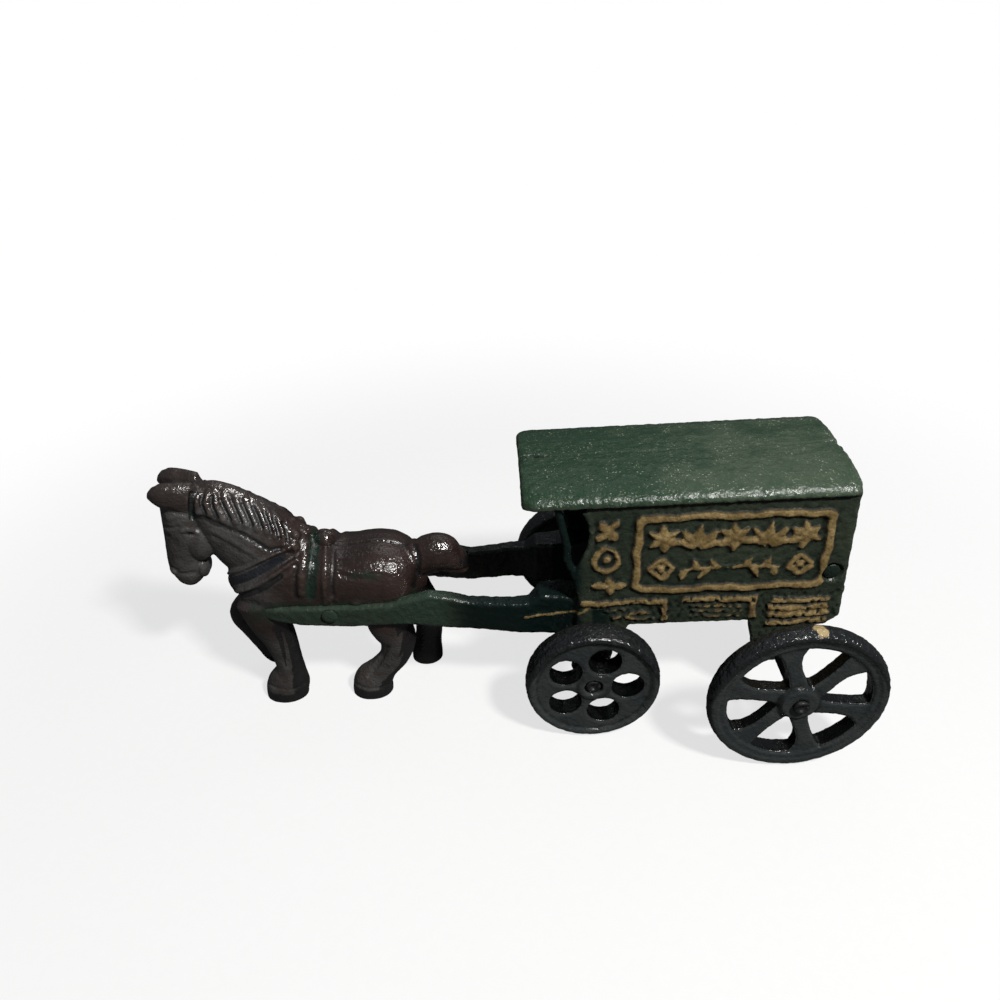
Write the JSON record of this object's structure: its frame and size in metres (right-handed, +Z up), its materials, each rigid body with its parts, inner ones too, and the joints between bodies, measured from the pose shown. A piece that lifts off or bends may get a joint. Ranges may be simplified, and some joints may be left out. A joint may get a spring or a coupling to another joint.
{
  "type": "toy horse carriage",
  "caption": "Cast iron toy: a horse riveted between the shafts of a closed wagon with an arched roof and an open driver's place, on loose axles with pierced front and spoked rear wheels.",
  "frame": {"origin": "centre of the bounding box, at the ground", "axes": "+X towards the rear of the carriage (the horse faces -X), +Y towards its right side, +Z up"},
  "size_m": [0.2003, 0.0852, 0.0806],
  "materials": {
    "body_green_enamel": "worn glossy dark green enamel on rough cast iron, mouldings touched in tan",
    "horse_brown_enamel": "worn glossy red-brown enamel on rough cast iron",
    "wheel_black_enamel": "worn semi-gloss black enamel on rough cast iron",
    "dark_steel": "dark, peened by hand"
  },
  "bodies": {
    "carriage": {"body_half_left": "body_green_enamel", "body_half_right": "body_green_enamel", "horse_half_left": "horse_brown_enamel", "horse_half_right": "horse_brown_enamel", "rear_rivet": "dark_steel", "horse_rivet": "dark_steel"},
    "front_axle": {"front_axle": "dark_steel"},
    "rear_axle": {"rear_axle": "dark_steel"},
    "front_wheel_left": {"front_wheel_left": "wheel_black_enamel"},
    "front_wheel_right": {"front_wheel_right": "wheel_black_enamel"},
    "rear_wheel_left": {"rear_wheel_left": "wheel_black_enamel"},
    "rear_wheel_right": {"rear_wheel_right": "wheel_black_enamel"}
  },
  "joints": [
    {"name": "front_axle_spin", "type": "hinge", "parent": "carriage", "child": "front_axle", "pos_m": [0.0222, 0, 0.0194], "axis": [0, 1, 0], "continuous": true},
    {"name": "rear_axle_spin", "type": "hinge", "parent": "carriage", "child": "rear_axle", "pos_m": [0.0757, 0, 0.0245], "axis": [0, 1, 0], "continuous": true},
    {"name": "front_wheel_left_spin", "type": "hinge", "parent": "front_axle", "child": "front_wheel_left", "pos_m": [0.0222, 0, 0.0194], "axis": [0, 1, 0], "continuous": true},
    {"name": "front_wheel_right_spin", "type": "hinge", "parent": "front_axle", "child": "front_wheel_right", "pos_m": [0.0222, 0, 0.0194], "axis": [0, 1, 0], "continuous": true},
    {"name": "rear_wheel_left_spin", "type": "hinge", "parent": "rear_axle", "child": "rear_wheel_left", "pos_m": [0.0757, 0, 0.0245], "axis": [0, 1, 0], "continuous": true},
    {"name": "rear_wheel_right_spin", "type": "hinge", "parent": "rear_axle", "child": "rear_wheel_right", "pos_m": [0.0757, 0, 0.0245], "axis": [0, 1, 0], "continuous": true}
  ]
}
